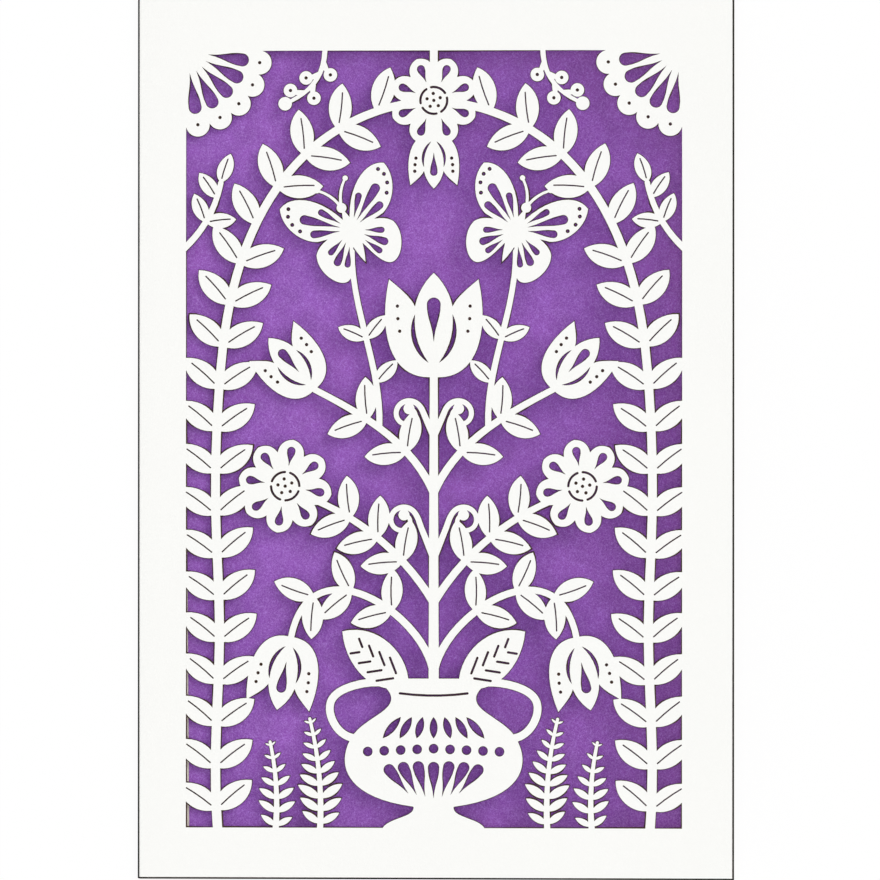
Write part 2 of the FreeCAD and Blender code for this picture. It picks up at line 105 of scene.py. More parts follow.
# %% [markdown]
# ## The outlines of the lace
#
# The lace has almost four hundred openings, so it would be foolish to draw it twice. Its outlines
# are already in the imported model: they are the edges where the top face of the front leaf ends.
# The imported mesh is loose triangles, so a copy is merged first. Each edge is then followed to the
# next, always with the card on its left, which gives one closed loop round the leaf and one round
# each opening.


# %% Follow the outlines
ONE_CORNER = 1e-7     # corners less than this many metres apart are one corner
FACING = 0.999        # cosine of the most that a face may lean away from the leaf
NEAR_TOP = 0.02       # how near the leaf's top a face has to be, to belong to it


def leaf_outlines(card):
    """The loops of the front leaf's top face, in mm across and along it, card on the left."""
    mesh = bmesh.new()
    mesh.from_mesh(card.data)
    bmesh.ops.remove_doubles(mesh, verts=mesh.verts, dist=ONE_CORNER)
    outside = BEND_INSIDE + STOCK

    def on_top(face):
        height = (face.calc_center_median() / MM - AXIS).dot(leaf_up)
        return face.normal.dot(leaf_up) > FACING and abs(height - outside) < NEAR_TOP

    top = {face for face in mesh.faces if on_top(face)}
    after, place = {}, {}
    for face in top:
        for side in face.loops:
            if side.link_loop_radial_next.face not in top:
                after[side.vert] = side.link_loop_next.vert
                flat = side.vert.co / MM - AXIS
                place[side.vert] = (flat.dot(leaf_across), side.vert.co.y / MM)
    loops = []
    for start in sorted(after, key=lambda vert: vert.index):
        loop, vert = [], start
        while vert in after:
            loop.append(place[vert])
            vert = after.pop(vert)
        if loop:
            loops.append(np.array(loop))
    mesh.free()
    return loops


def enclosed(loop):
    """The area inside a loop, which is negative where the loop runs round an opening."""
    x, y = loop.T
    return 0.5 * float(np.sum(x * np.roll(y, -1) - y * np.roll(x, -1)))


outlines = leaf_outlines(nodes["folded_card"])
openings = [loop for loop in outlines if enclosed(loop) < 0]
open_area = -sum(enclosed(loop) for loop in openings)
print(len(openings), "openings with", sum(map(len, openings)), "points")
print(round(open_area), "square mm are cut away")

# %% [markdown]
# ## What the laser does to an edge
#
# A laser beam narrows as it burns down through the card, so each wall leans: the opening is a
# little wider at the face than underneath. The wall is coloured a dark sooty tan, partly real
# scorching and partly painted shade, so that it shows from the front as a thin dark line and
# keeps narrow slits as dark as their shade. A hair's breadth of the face next to the cut is
# darkened too: partly toasting by the heat, partly a painted shadow line along the edge.
#
# Both need a line that runs beside the outline at a steady distance. At each point the two
# neighbouring edges give a direction into the card. Where the card or the opening is narrow the
# distance shrinks with it, and a ray sent to the facing wall measures how narrow it is.

# %% Lines beside the outlines
TOAST_AND_SHADE_BAND = 0.08          # how far the scorching and a painted shadow line reach over the face
LEAN = 0.10           # how far a wall leans out, from the face to the inside
OUTER_CHAR_AND_SHADOW_BAND = 0.335   # the outer edges: scorching widened into a painted shadow line round the card
OUTER_LEAN = 0.10
BRIDGE_SHARE = 0.3    # most of a narrow bridge that the scorching and painted shade may take up
NARROW = 0.6          # walls of an opening this narrow nearly meet underneath
NARROW_LEAN = 0.44    # because each leans over this much of the opening
WIDE = 1.0            # walls of an opening this wide lean no more than any others
FAR = 2.0             # rays look no further than this
START = 0.002         # and start this far off their own wall
LONGEST_MITRE = 2.0   # in a sharp corner the line is at most this many times as far away


def facing_walls(loops):
    """The walls of all the loops, in a form that rays can be sent into."""
    corners, walls = [], []
    for loop in loops:
        start, count = len(corners), len(loop)
        corners += [(x, y, z) for x, y in loop for z in (-1, 1)]
        for i in range(count):
            a, b = start + 2 * i, start + 2 * ((i + 1) % count)
            walls.append((a, b, b + 1, a + 1))
    return BVHTree.FromPolygons(corners, walls)


def into_the_card(loop):
    """At each point, the direction into the card, and how much longer the line is in a corner."""
    ahead = np.roll(loop, -1, 0) - loop
    ahead /= np.linalg.norm(ahead, axis=1)[:, None]
    left = np.column_stack([-ahead[:, 1], ahead[:, 0]])
    both = left + np.roll(left, 1, 0)
    size = np.linalg.norm(both, axis=1)
    return both / size[:, None], 1 / np.maximum(size / 2, 1 / LONGEST_MITRE)


def room(walls, loop, directions):
    """The distance from each point to the facing wall, or to its neighbours' if that is less."""
    found = []
    for point, direction in zip(loop, directions):
        ray = Vector((*direction, 0))
        distance = walls.ray_cast(Vector((*point, 0)) + ray * START, ray, FAR)[3]
        found.append(FAR if distance is None else distance)
    return np.min([np.roll(found, step) for step in range(-2, 3)], axis=0)


def beside(walls, loop, toast_and_shade, lean):
    """The line where the toasting and painted edge shade end, and the line the leaning wall ends
    on.
    """
    inward, mitre = into_the_card(loop)
    toast_and_shade = np.minimum(toast_and_shade, BRIDGE_SHARE * room(walls, loop, inward)) * mitre
    width = room(walls, loop, -inward)
    lean = np.interp(width, [0, NARROW, WIDE], [0, NARROW_LEAN * NARROW, lean]) * mitre
    return loop + inward * toast_and_shade[:, None], loop - inward * lean[:, None]

# %% [markdown]
# ## The flat sheet
#
# The sheet is drawn flat. Across it, 0 is where the front leaf leaves the bend, and the bend and
# the back leaf lie on the minus side. Triangles could join the outlines in countless ways, and a
# plain fill makes long slivers that shade badly. A constrained Delaunay triangulation keeps every
# outline and makes the fattest triangles it can. Straight lines over the bend let the sheet fold
# there, and a grid of points in the wide margins lets the front leaf ripple. On the outside of the
# bend a band of lines is darkened to near black: a score line there, painted dark as the shade
# where the bend turns under and meets its shadow on the floor.

# %% Draw the sheet
GRID = 4.0            # between the points in the plain parts of the front leaf
GRID_TO_CUT = 1.0     # those points stay this far from every cut
SHADED_SCORE = range(7, 15)  # the fold lines that the score's painted shade line covers, counted from the back leaf
CHAR_AND_SHADE_LEVEL = 3.0         # how dark the outer edges and the score are, next to an ordinary cut: char and painted shade

fold_lines = np.linspace(-BEND_RUN, 0, BEND_STEPS + 1)
leaf_steps = np.arange(GRID, LEAF_WIDTH - GRID / 2, GRID)
across = np.concatenate([[-BEND_RUN - LEAF_WIDTH], fold_lines, leaf_steps, [LEAF_WIDTH]])
along = np.linspace(-LEAF_HALF_HEIGHT, LEAF_HALF_HEIGHT, round(2 * LEAF_HALF_HEIGHT / GRID) + 1)
foot = [(x, along[0]) for x in across]
free_edge = [(LEAF_WIDTH, y) for y in along[1:-1]]
head = [(x, along[-1]) for x in across[::-1]]
sheet_edge = np.array(foot + free_edge + head)

walls = facing_walls([sheet_edge] + openings)
points, wall_foot, edges, rings, scorch_and_shade, smoke_and_shade = [], [], [], [], [], []


def draw(loop, toast_and_shade, lean, burn_and_shade, smoke):
    """Adds a loop and the line beside it, and returns the numbers of their first points."""
    toast_end, lean_end = beside(walls, loop, toast_and_shade, lean)
    first, count = len(points), len(loop)
    points.extend([*loop, *toast_end])
    wall_foot.extend([*lean_end, *toast_end])
    scorch_and_shade.extend([burn_and_shade] * count + [0.0] * count)
    smoke_and_shade.extend([smoke] * count + [0.0] * count)
    rings.append(range(first, first + count))
    edges.extend((first + i, first + (i + 1) % count) for i in range(count))
    edges.extend((first + count + i, first + count + (i + 1) % count) for i in range(count))
    return first, first + count


# The outer edges: char painted near black as a shadow line round the card, clean on the inside
outer, outer_inset = draw(sheet_edge, OUTER_CHAR_AND_SHADOW_BAND, OUTER_LEAN, CHAR_AND_SHADE_LEVEL, 0.0)
# The openings: scorching on walls and face, darkened further into painted shade along each cut
for loop in openings:
    draw(loop, TOAST_AND_SHADE_BAND, LEAN, 1.0, 1.0)

for line in range(len(fold_lines)):
    lower = 1 + line                      # its end on the foot edge, and on the head edge
    upper = len(sheet_edge) - 1 - lower
    edges += [
        (outer + lower, outer_inset + lower),
        (outer_inset + lower, outer_inset + upper),
        (outer_inset + upper, outer + upper),
    ]
    # The score is painted near black, as the shade where the bend turns under and meets the floor
    if line in SHADED_SCORE:
        scorch_and_shade[outer_inset + lower] = scorch_and_shade[outer_inset + upper] = CHAR_AND_SHADE_LEVEL

for x in leaf_steps:
    for y in along[1:-1]:
        if walls.find_nearest(Vector((x, y, 0)), GRID_TO_CUT)[3] is None:
            points.append((x, y))
            wall_foot.append((x, y))
            scorch_and_shade.append(0.0)
            smoke_and_shade.append(0.0)
print(len(points), "points,", len(edges), "edges to keep")

# %% [markdown]
# The triangulation fills the openings too, so each triangle is asked which drawn loops it lies
# in, and those inside an opening are left out. The same triangles serve as the inside of the
# sheet, turned over, with the foot of each leaning wall moved outwards. Wherever the face ends, a
# wall joins the two, and that closes the sheet. Two numbers are kept at each point for the
# material: how dark it is to be painted, for laser scorching and for the painted shade along the
# cuts, the outer edges and the fold, and which side it is on. The laser burns the side that it
# enters, so the sheet's own edge stays clean on the inside.

# %% Join it with triangles
WHOLE_FILL = 0        # the kind of triangulation that fills everything inside the outer loop
ONE_POINT = 1e-6      # points less than this far apart are one point


def flat_sheet():
    """Corners, faces, how dark each corner is painted for scorching and shade, and how many faces
    are walls.
    """
    wanted = [list(reversed(ring)) for ring in rings[1:]]
    flat = [Vector(point) for point in points]
    made = delaunay_2d_cdt(flat, edges, wanted, WHOLE_FILL, ONE_POINT, True)
    place, triangles, source, opening = made[0], made[2], made[3], made[5]
    triangles = [t for t, inside in zip(triangles, opening) if not inside]
    used = sorted({v for t in triangles for v in t})
    number = {v: n for n, v in enumerate(used)}
    triangles = [tuple(number[v] for v in t) for t in triangles]
    drawn = [source[v][0] if source[v] else None for v in used]
    face = [(*place[v], STOCK) for v in used]
    inside = [(*(place[v] if d is None else wall_foot[d]), 0) for v, d in zip(used, drawn)]
    burn_and_shade = [0.0 if d is None else side[d] for side in (scorch_and_shade, smoke_and_shade) for d in drawn]

    count = len(used)
    sides = {(t[i], t[(i + 1) % 3]) for t in triangles for i in range(3)}
    rim = [(a, b) for a, b in sides if (b, a) not in sides]
    faces = triangles + [tuple(count + v for v in reversed(t)) for t in triangles]
    faces += [(b, a, count + a, count + b) for a, b in sorted(rim)]
    return face + inside, faces, burn_and_shade, len(rim)


corners, faces, burn_and_shade, rim_count = flat_sheet()
print(len(corners), "points,", len(faces), "faces,", rim_count, "of them walls")

# %% [markdown]
# ## Building with nodes
#
# Folding is a rule: each point of the flat sheet has one place on the folded card. Geometry Nodes
# suit that, because the sizes stay as named inputs that can be changed at any time. The two
# helpers below add a node in one line and do one step of arithmetic. `formed` puts a tree on a
# mesh, sets its inputs by their identifiers, and takes the result as a plain mesh, so nothing
# live is left on the piece.


# %% Helpers for node trees
NODES_IN_A_ROW = 10
NODE_WIDTH, NODE_HEIGHT = 200, 260     # the room that a node gets in the editor
SHARP = math.radians(40)               # edges that turn more than this stay sharp


def put(tree, kind, sockets=None, **settings):
    """Adds one node. A socket gets a plain value, or a link if it is given a node's output."""
    made = tree.nodes.new(kind)
    row, column = divmod(len(tree.nodes) - 1, NODES_IN_A_ROW)
    made.location = (NODE_WIDTH * column, -NODE_HEIGHT * row)
    for name, value in settings.items():
        setattr(made, name, value)
    for name, value in (sockets or {}).items():
        if isinstance(value, bpy.types.NodeSocket):
            tree.links.new(value, made.inputs[name])
        else:
            made.inputs[name].default_value = value
    return made


def work(tree, how, *values):
    """One step of arithmetic, such as work(tree, "ADD", a, b)."""
    return put(tree, "ShaderNodeMath", dict(enumerate(values)), operation=how).outputs[0]


def new_tree(name, sizes):
    """A tree with a geometry in and out and a named input for each size."""
    tree = bpy.data.node_groups.new(name, "GeometryNodeTree")
    for way in ("INPUT", "OUTPUT"):
        tree.interface.new_socket("Geometry", in_out=way, socket_type="NodeSocketGeometry")
    for size in sizes:
        tree.interface.new_socket(size, in_out="INPUT", socket_type="NodeSocketFloat")
    tree.interface.new_socket("Material", in_out="INPUT", socket_type="NodeSocketMaterial")
    return tree, put(tree, "NodeGroupInput").outputs


def end_tree(tree, geometry, given):
    whole = put(tree, "GeometryNodeRealizeInstances", {"Geometry": geometry}).outputs[0]
    finished = put(tree, "GeometryNodeSetMaterial", {
        "Geometry": whole, "Material": given["Material"],
    })
    put(tree, "NodeGroupOutput", {"Geometry": finished.outputs[0]})


def formed(name, mesh, tree, material, **sizes):
    """Runs a tree on a mesh and returns an object with the finished, plain mesh."""
    made = bpy.data.objects.new(name, mesh)
    bpy.context.scene.collection.objects.link(made)
    modifier = made.modifiers.new("form", "NODES")
    modifier.node_group = tree
    sockets = tree.interface.items_tree
    inputs = {socket.name: socket.identifier for socket in sockets if socket.in_out == "INPUT"}
    modifier[inputs["Material"]] = material
    for size, value in sizes.items():
        modifier[inputs[size.replace("_", " ")]] = float(value)
    bpy.context.view_layer.update()
    view = made.evaluated_get(bpy.context.evaluated_depsgraph_get())
    plain = bpy.data.meshes.new_from_object(view)
    made.modifiers.clear()
    made.data = plain
    plain.name = name
    plain.shade_smooth()
    plain.set_sharp_from_angle(angle=SHARP)
    plain.calc_loop_triangles()
    print(name, "has", len(plain.loop_triangles), "triangles")
    return made


# %% [markdown]
# ## Score and fold
#
# The bend is a half circle of stock round the fold's axis, short of a half turn by the opening
# angle. A point on it turns by its share of the bend. A point on the back leaf only runs on from
# the start of the bend, and one on the front leaf from its end. The front leaf isn't a stiff
# board, either: more than a third of it is cut away, so it sags a little in the middle and
# ripples, and its free corners lift. All of that fades out towards the fold, which holds it flat.

# %% The folding tree
RIPPLE_SEED = 3.7     # the fourth coordinate of the noise
HELD_TO = 0.5         # the fold holds the leaf less and less, up to half way across


def folding_tree():
    tree, given = new_tree("score_and_fold", [
        "Axis Across", "Axis Height", "Inside Radius", "Opening", "Bend Run",
        "Leaf Width", "Leaf Height", "Ripple", "Ripple Length", "Sag", "Corner Lift",
    ])
    place = put(tree, "GeometryNodeInputPosition").outputs[0]
    at = put(tree, "ShaderNodeSeparateXYZ", {0: place}).outputs
    before_bend = work(tree, "ADD", at["X"], given["Bend Run"])
    front = work(tree, "MAXIMUM", at["X"], 0)
    back = work(tree, "MAXIMUM", work(tree, "MULTIPLY", before_bend, -1), 0)
    bent = work(tree, "DIVIDE", before_bend, given["Bend Run"])
    share = put(tree, "ShaderNodeClamp", {0: bent}).outputs[0]
    turned = work(tree, "MULTIPLY", share, work(tree, "SUBTRACT", math.pi, given["Opening"]))

    across = work(tree, "DIVIDE", front, given["Leaf Width"])
    upward = work(tree, "DIVIDE", at["Y"], given["Leaf Height"])
    freed = put(tree, "ShaderNodeMapRange", {"Value": across, "From Max": HELD_TO},
                interpolation_type="SMOOTHSTEP")
    spot = put(tree, "ShaderNodeCombineXYZ", {"X": front, "Y": at["Y"]}).outputs[0]
    noise = put(tree, "ShaderNodeTexNoise", {
        "Vector": spot, "W": RIPPLE_SEED, "Detail": 1.0,
        "Scale": work(tree, "DIVIDE", 1, given["Ripple Length"]),
    }, noise_dimensions="4D")
    ripple = work(tree, "MULTIPLY", work(tree, "SUBTRACT", noise.outputs[0], 0.5), given["Ripple"])
    hollow = work(tree, "MULTIPLY", work(tree, "SINE", work(tree, "MULTIPLY", across, math.pi)),
                  work(tree, "COSINE", work(tree, "MULTIPLY", upward, math.pi)))
    sag = work(tree, "MULTIPLY", hollow, given["Sag"])
    corner = work(tree, "MULTIPLY", work(tree, "POWER", across, 3), work(tree, "POWER", upward, 2))
    # upward is a half at the corners, so its square is a quarter there
    lifted = work(tree, "MULTIPLY", corner, work(tree, "MULTIPLY", given["Corner Lift"], 4))
    spring = work(tree, "SUBTRACT", work(tree, "MULTIPLY", freed.outputs[0], ripple), sag)
    spring = work(tree, "ADD", spring, lifted)
    reach = work(tree, "ADD", work(tree, "ADD", at["Z"], given["Inside Radius"]), spring)

    out = work(tree, "MULTIPLY", work(tree, "SINE", turned), reach)
    up = work(tree, "MULTIPLY", work(tree, "COSINE", turned), reach)
    along_leaf = work(tree, "MULTIPLY", work(tree, "COSINE", given["Opening"]), front)
    run_out = work(tree, "ADD", along_leaf, back)
    run_up = work(tree, "MULTIPLY", work(tree, "SINE", given["Opening"]), front)
    x = work(tree, "ADD", work(tree, "SUBTRACT", given["Axis Across"], out), run_out)
    z = work(tree, "ADD", work(tree, "SUBTRACT", given["Axis Height"], up), run_up)
    folded = put(tree, "ShaderNodeCombineXYZ", {"X": x, "Y": at["Y"], "Z": z}).outputs[0]
    moved = put(tree, "GeometryNodeSetPosition", {
        "Geometry": given["Geometry"], "Position": folded,
    })
    end_tree(tree, moved.outputs[0], given)
    return tree

# %% [markdown]
# ## Paper
#
# All paper is a mat of fibres, so both papers here share one effect. A fibre is a thin curly
# line, and so is the place where a smooth noise passes its middle value: a narrow band round that
# value draws strands that wander, as pulp does. Two such layers make the mat. Behind them is the
# slow cloudiness that is seen when paper is held to a window. It is one shader group, and each
# paper gives it its own sizes. It puts out a tone to multiply the colour with, and a mask of the
# strands, which is the height for the bump as well.


# %% The shared fibre effect
STRAND = 0.07         # half the width of the band, in the noise's own units
STRAND_SHARE = 0.25   # the strands' mean, which leaves the tone at 1 on average
LAYERS = ((0.5, 1.0), (-0.9, 1.4))   # each layer's turn, in radians, and its fineness


def fibre_group():
    tree = bpy.data.node_groups.new("paper_fibres", "ShaderNodeTree")
    for name, kind, start in (
        ("Place", "NodeSocketVector", (0, 0, 0)),
        ("Fibre Length", "NodeSocketFloat", 0.0008),
        ("Fibre Contrast", "NodeSocketFloat", 0.1),
        ("Cloud Size", "NodeSocketFloat", 0.02),
        ("Cloud Contrast", "NodeSocketFloat", 0.03),
    ):
        tree.interface.new_socket(name, in_out="INPUT", socket_type=kind).default_value = start
    for name in ("Tone", "Strands"):
        tree.interface.new_socket(name, in_out="OUTPUT", socket_type="NodeSocketFloat")
    given = put(tree, "NodeGroupInput").outputs
    fineness = work(tree, "DIVIDE", 1, given["Fibre Length"])
    layers = []
    for turn, finer in LAYERS:
        turned = put(tree, "ShaderNodeVectorRotate", {"Vector": given["Place"], "Angle": turn})
        noise = put(tree, "ShaderNodeTexNoise", {
            "Vector": turned.outputs[0], "Scale": work(tree, "MULTIPLY", fineness, finer),
            "Detail": 1.0, "Distortion": 0.4,
        }).outputs["Fac"]
        from_middle = work(tree, "ABSOLUTE", work(tree, "SUBTRACT", noise, 0.5))
        strand = put(tree, "ShaderNodeMapRange", {
            "Value": from_middle, "From Max": STRAND, "To Min": 1.0, "To Max": 0.0,
        }, interpolation_type="SMOOTHSTEP")
        layers.append(strand.outputs[0])
    mat = work(tree, "MULTIPLY", work(tree, "ADD", *layers), 0.5)
    cloud = put(tree, "ShaderNodeTexNoise", {
        "Vector": given["Place"], "Scale": work(tree, "DIVIDE", 1, given["Cloud Size"]),
        "Detail": 4.0,
    }).outputs["Fac"]
    grain = work(tree, "SUBTRACT", mat, STRAND_SHARE)
    grain = work(tree, "MULTIPLY", grain, given["Fibre Contrast"])
    slow = work(tree, "SUBTRACT", cloud, 0.5)
    slow = work(tree, "MULTIPLY", slow, given["Cloud Contrast"])
    tone = work(tree, "ADD", work(tree, "ADD", grain, slow), 1)
    put(tree, "NodeGroupOutput", {"Tone": tone, "Strands": mat})
    return tree


paper_fibres = fibre_group()


def new_material(name):
    """A material, its empty tree, and the place on the piece that its patterns follow."""
    material = bpy.data.materials.new(name)
    material.use_nodes = True
    tree = material.node_tree
    tree.nodes.clear()
    place = put(tree, "ShaderNodeTexCoord").outputs["Object"]
    return material, tree, place


def fibres(tree, place, **sizes):
    """Puts the fibre group in a material, and returns its tone and its strands."""
    made = put(tree, "ShaderNodeGroup", node_tree=paper_fibres)
    tree.links.new(place, made.inputs["Place"])
    for name, value in sizes.items():
        made.inputs[name.replace("_", " ")].default_value = value
    return made.outputs["Tone"], made.outputs["Strands"]


def finish(tree, colour, height, depth, **settings):
    """Ends a material in a Principled shader with a bump as deep as `depth` metres."""
    bump = put(tree, "ShaderNodeBump", {"Height": height, "Distance": depth, "Strength": 1.0})
    sockets = {"Base Color": colour, "Normal": bump.outputs[0]}
    sockets.update({name.replace("_", " "): value for name, value in settings.items()})
    shader = put(tree, "ShaderNodeBsdfPrincipled", sockets)
    put(tree, "ShaderNodeOutputMaterial", {"Surface": shader.outputs[0]})


def tinted(tree, colour, tone):
    """A colour made lighter or darker by a tone round 1."""
    scaled = put(tree, "ShaderNodeVectorMath", {0: colour, "Scale": tone}, operation="SCALE")
    return scaled.outputs[0]


def blended(tree, share, low, high):
    """The colour `low` where the share is 0, and `high` where it is 1."""
    factor, low_colour, high_colour, result = 0, 6, 7, 2   # the Mix node's sockets for colours
    mix = put(tree, "ShaderNodeMix", {
        factor: share, low_colour: low, high_colour: high,
    }, data_type="RGBA")
    return mix.outputs[result]


# %% [markdown]
# ## White card
#
# The card is a smooth, faintly warm white. Where the laser passed it goes from tan to almost
# black, never evenly, because the beam slows in corners and the smoke drifts. That dark is partly
# real scorching and partly painted shade: the cut edges carry the shadow line that lies along
# them, and the outer edges and the fold are painted near black as the shadow line round the card.
# The number kept at each point says where the mark is, and a noise along it breaks the line up.
# The inside of the card is painted creamier than its face, as a warm painted shade.

# %% The white card's material
FACE_WHITE = (0.976, 0.976, 0.951, 1)
# The inside is painted creamier than the face, as a warm painted shade
INSIDE_SHADE_CREAM = (0.93, 0.87, 0.76, 1)
# Soot, tan and char: laser scorching, darkened further as painted shade along cuts and edges
SOOT_AND_SHADE = (0.012, 0.007, 0.006, 1)
TAN_AND_SHADE = (0.12, 0.062, 0.035, 1)
CHAR_AND_SHADE_BLACK = (0.009, 0.009, 0.009, 1)
SCORCH_FROM, SCORCH_TO = 0.15, 0.85   # where scorching and painted shade start to show, and where they are full
CHAR_FROM, CHAR_TO = 1.0, 1.3         # where the full mark turns to char and the near black painted shadow line of edges and fold
PATCHES = 700.0                       # patches of soot in a metre of edge
CARD_GRAIN = 0.00002                  # metres that the fibres stand up


def white_card_material():
    material, tree, place = new_material("white_card")
    tone, strands = fibres(
        tree, place,
        Fibre_Length=0.0009, Fibre_Contrast=0.015, Cloud_Size=0.03, Cloud_Contrast=0.015,
    )
    # This mask carries the laser's scorching together with the painted shade along cuts, edges and
    # fold
    scorch_and_shade_mask = put(tree, "ShaderNodeAttribute", attribute_name="scorch_and_shade").outputs["Fac"]
    inside_shade_mask = put(tree, "ShaderNodeAttribute", attribute_name="inside").outputs["Fac"]
    # The inside takes the creamier colour: a warm painted shade
    white = tinted(tree, blended(tree, inside_shade_mask, FACE_WHITE, INSIDE_SHADE_CREAM), tone)
    patchy = put(tree, "ShaderNodeTexNoise", {"Vector": place, "Scale": PATCHES, "Detail": 3.0})
    soot_and_shade_colour = blended(tree, patchy.outputs["Fac"], SOOT_AND_SHADE, TAN_AND_SHADE)
    char_and_shade_share = put(tree, "ShaderNodeMapRange", {
        "Value": scorch_and_shade_mask, "From Min": CHAR_FROM, "From Max": CHAR_TO,
    }).outputs[0]
    burn_and_shade = blended(tree, char_and_shade_share, soot_and_shade_colour, CHAR_AND_SHADE_BLACK)
    share = put(tree, "ShaderNodeMapRange", {
        "Value": scorch_and_shade_mask, "From Min": SCORCH_FROM, "From Max": SCORCH_TO,
    }, interpolation_type="SMOOTHSTEP").outputs[0]
    finish(tree, blended(tree, share, white, burn_and_shade), strands, CARD_GRAIN,
           Roughness=0.85, Specular_IOR_Level=0.25)
    return material


white_card = white_card_material()

# %% [markdown]
# ## Purple paper
#
# The purple sheet is a thin paper made from dyed pulp. Paler, greyer strands lie all over a deeper
# purple: partly fibres that took less dye, and partly a painted sheen where fibres catch the light.
# The whole drifts slowly between a bluer and a redder purple. Its nap shines very slightly.

# %% The purple paper's material
BLUER_PURPLE = (0.275, 0.092, 0.485, 1)
REDDER_PURPLE = (0.301, 0.088, 0.453, 1)
PALE_STRAND_AND_SHEEN = (0.425, 0.210, 0.650, 1)
DRIFT = 45.0                          # changes of hue in a metre
PAPER_GRAIN = 0.00004                 # metres that the fibres stand up


def purple_paper_material():
    material, tree, place = new_material("purple_paper")
    tone, strands = fibres(
        tree, place,
        Fibre_Length=0.0006, Fibre_Contrast=0.12, Cloud_Size=0.004, Cloud_Contrast=0.48,
    )
    drift = put(tree, "ShaderNodeTexNoise", {"Vector": place, "Scale": DRIFT, "Detail": 2.0})
    deep = blended(tree, drift.outputs["Fac"], BLUER_PURPLE, REDDER_PURPLE)
    # Pale strands: partly paler fibres, partly a painted sheen
    purple = blended(tree, strands, deep, PALE_STRAND_AND_SHEEN)
    finish(tree, tinted(tree, purple, tone), strands, PAPER_GRAIN,
           Roughness=0.8, Specular_IOR_Level=0.25, Sheen_Weight=0.05, Sheen_Roughness=0.5)
    return material


purple_paper = purple_paper_material()

# %% [markdown]
# ## Dry glue
#
# Paper glue dries to a cloudy, slightly yellow film with small bubbles, which are cells of a
# Voronoi pattern.

# %% The glue's material
GLUE_FILM = (0.62, 0.60, 0.48, 1)
GLUE_BUBBLE = (0.80, 0.79, 0.70, 1)
BUBBLES = 1500.0                      # in a metre
BUBBLE_DEPTH = 0.00003


def dry_glue_material():
    material, tree, place = new_material("dry_glue")
    cells = put(tree, "ShaderNodeTexVoronoi", {"Vector": place, "Scale": BUBBLES})
    bubbles = cells.outputs["Distance"]
    cloudy = blended(tree, bubbles, GLUE_FILM, GLUE_BUBBLE)
    finish(tree, cloudy, bubbles, BUBBLE_DEPTH, Roughness=0.35)
    return material


dry_glue = dry_glue_material()
for node in ("glue_strip_fold_side", "glue_strip_free_side"):
    nodes[node].material_slots[0].material = dry_glue
print("materials:", ", ".join(m.name for m in (white_card, purple_paper, dry_glue)))

# %% [markdown]
# ## The card, folded
#
# The flat mesh gets its two numbers, and the folding tree does the rest. Its box is then printed,
# because the folded sheet has to be the same card as the imported node.

# %% Fold the card
def card_mesh():
    mesh = bpy.data.meshes.new("flat_sheet")
    mesh.from_pydata([Vector(c) * MM for c in corners], [], faces)
    half = len(corners) // 2
    for name, values in (("scorch_and_shade", burn_and_shade), ("inside", [0.0] * half + [1.0] * half)):
        mesh.attributes.new(name, "FLOAT", "POINT").data.foreach_set("value", values)
    return mesh


lace_card = formed(
    "lace_card", card_mesh(), folding_tree(), white_card,
    Axis_Across=AXIS.x * MM, Axis_Height=AXIS.z * MM,
    Inside_Radius=BEND_INSIDE * MM, Opening=OPENING, Bend_Run=BEND_RUN * MM,
    Leaf_Width=LEAF_WIDTH * MM, Leaf_Height=2 * LEAF_HALF_HEIGHT * MM,
    Ripple=0.0005, Ripple_Length=0.045, Sag=0.00025, Corner_Lift=0.0006,
)
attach(lace_card, "root")
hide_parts("folded_card")
print("folded:", in_mm(lace_card.bound_box[0]), "to", in_mm(lace_card.bound_box[6]))

# %% [markdown]
# ## The purple sheet
#
# The sheet is cut a little askew and lies on two strips of glue near its sides. Between them
# nothing holds it, so it cockles. A cube with many points across and along and only two through
# it is already a closed, thin sheet. The tree makes it that way from named sizes, lifts what
# isn't glued, and turns it.

# %% The glued sheet's tree
COCKLE_SEED = 1.3     # the fourth coordinate of the noise
LOOSE_AT = 3          # widths of the glued part from the side, where the sheet is quite loose


